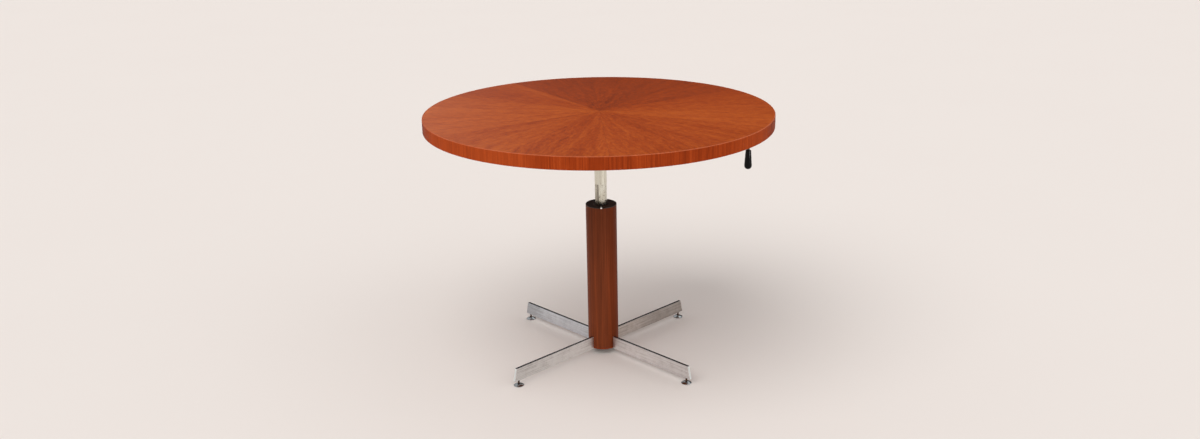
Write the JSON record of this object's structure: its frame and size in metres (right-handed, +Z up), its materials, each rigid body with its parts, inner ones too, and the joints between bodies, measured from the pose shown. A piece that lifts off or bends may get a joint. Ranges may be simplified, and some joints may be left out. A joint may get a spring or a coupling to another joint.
{
  "type": "telescoping pedestal table",
  "caption": "Round sunburst-veneer table on a telescoping pedestal with a cross base of flat bars, levelling glides and a release grip under the edge.",
  "frame": {"origin": "on the floor under the column's axis", "axes": "+Z up along the column; the legs lie at 45 degrees to X and Y; the usual viewing side is -Y"},
  "size_m": [0.9905, 0.9906, 0.7366],
  "materials": {
    "top_veneer": "satin lacquer",
    "edge_veneer": "satin lacquer",
    "column_veneer": "satin lacquer",
    "board": "raw board",
    "leg_steel": "brushed",
    "shaft_steel": "plain turned, greasy",
    "zinc_steel": "zinc plated",
    "black_enamel": "semi-gloss",
    "chrome": "polished",
    "stem_steel": "rusted",
    "black_plastic": "moulded",
    "white_plastic": "moulded",
    "grip_plastic": "gloss",
    "rubber": "matte"
  },
  "bodies": {
    "base": {"column_cap": "black_plastic", "drag_screw": "chrome", "lower_guide": "white_plastic", "lower_guide_screws": "zinc_steel", "frame_tube": "black_enamel", "column_core": "board", "column_veneer": "column_veneer", "base_hub": "leg_steel", "rod_washer": "zinc_steel", "rod_nut": "zinc_steel", "down_buffer": "rubber", "gas_rod": "chrome", "gas_piston": "black_plastic", "leg_1": "leg_steel", "leg_2": "leg_steel", "leg_3": "leg_steel", "leg_4": "leg_steel"},
    "top": {"top_core": "board", "backing_veneer": "edge_veneer", "edge_band": "edge_veneer", "mounting_plate": "black_enamel", "plate_wood_screws": "zinc_steel", "lift_tube": "shaft_steel", "head_collar": "zinc_steel", "neck_nut": "zinc_steel", "gas_cylinder": "black_enamel", "gas_valve_body": "zinc_steel", "gas_seal": "black_plastic", "inner_bearing": "white_plastic", "outer_bearing": "white_plastic", "bearing_screws": "zinc_steel", "face_leaf_01": "top_veneer", "face_leaf_02": "top_veneer", "face_leaf_03": "top_veneer", "face_leaf_04": "top_veneer", "face_leaf_05": "top_veneer", "face_leaf_06": "top_veneer", "face_leaf_07": "top_veneer", "face_leaf_08": "top_veneer", "face_leaf_09": "top_veneer", "face_leaf_10": "top_veneer", "face_leaf_11": "top_veneer", "face_leaf_12": "top_veneer"},
    "release": {"release_rod": "zinc_steel", "release_grip": "grip_plastic", "release_stop_pin": "zinc_steel", "release_clip": "zinc_steel"},
    "release_pin": {"valve_pin": "zinc_steel"},
    "stem_1": {"glide_stem_1": "stem_steel"},
    "foot_1": {"glide_dome_1": "chrome", "glide_pad_1": "black_plastic"},
    "stem_2": {"glide_stem_2": "stem_steel"},
    "foot_2": {"glide_dome_2": "chrome", "glide_pad_2": "black_plastic"},
    "stem_3": {"glide_stem_3": "stem_steel"},
    "foot_3": {"glide_dome_3": "chrome", "glide_pad_3": "black_plastic"},
    "stem_4": {"glide_stem_4": "stem_steel"},
    "foot_4": {"glide_dome_4": "chrome", "glide_pad_4": "black_plastic"}
  },
  "joints": [
    {"name": "lift", "type": "slide", "parent": "base", "child": "top", "axis": [0, 0, 1], "range_m": [-0.2032, 0]},
    {"name": "release_turn", "type": "hinge", "parent": "top", "child": "release", "pos_m": [0, 0, 0.6896], "axis": [0.8536, -0.521, 0], "range_deg": [0, 35], "stiffness_Nm_per_rad": 1, "springref_deg": -17.19},
    {"name": "release_pin_press", "type": "slide", "parent": "top", "child": "release_pin", "axis": [0, 0, 1], "range_m": [-0.0019, 0]},
    {"name": "glide_1_level", "type": "slide", "parent": "base", "child": "stem_1", "axis": [0, 0, 1], "range_m": [-0.012, 0.009]},
    {"name": "foot_1_swivel", "type": "hinge", "parent": "stem_1", "child": "foot_1", "pos_m": [0.23723, 0.23723, 0], "axis": [0, 0, 1], "continuous": true},
    {"name": "glide_2_level", "type": "slide", "parent": "base", "child": "stem_2", "axis": [0, 0, 1], "range_m": [-0.012, 0.009]},
    {"name": "foot_2_swivel", "type": "hinge", "parent": "stem_2", "child": "foot_2", "pos_m": [-0.23723, 0.23723, 0], "axis": [0, 0, 1], "continuous": true},
    {"name": "glide_3_level", "type": "slide", "parent": "base", "child": "stem_3", "axis": [0, 0, 1], "range_m": [-0.012, 0.009]},
    {"name": "foot_3_swivel", "type": "hinge", "parent": "stem_3", "child": "foot_3", "pos_m": [-0.23723, -0.23723, 0], "axis": [0, 0, 1], "continuous": true},
    {"name": "glide_4_level", "type": "slide", "parent": "base", "child": "stem_4", "axis": [0, 0, 1], "range_m": [-0.012, 0.009]},
    {"name": "foot_4_swivel", "type": "hinge", "parent": "stem_4", "child": "foot_4", "pos_m": [0.23723, -0.23723, 0], "axis": [0, 0, 1], "continuous": true}
  ],
  "couplings": [
    {"joint": "release_pin_press", "follows": "release_turn", "m_per_rad": -0.0030377}
  ]
}
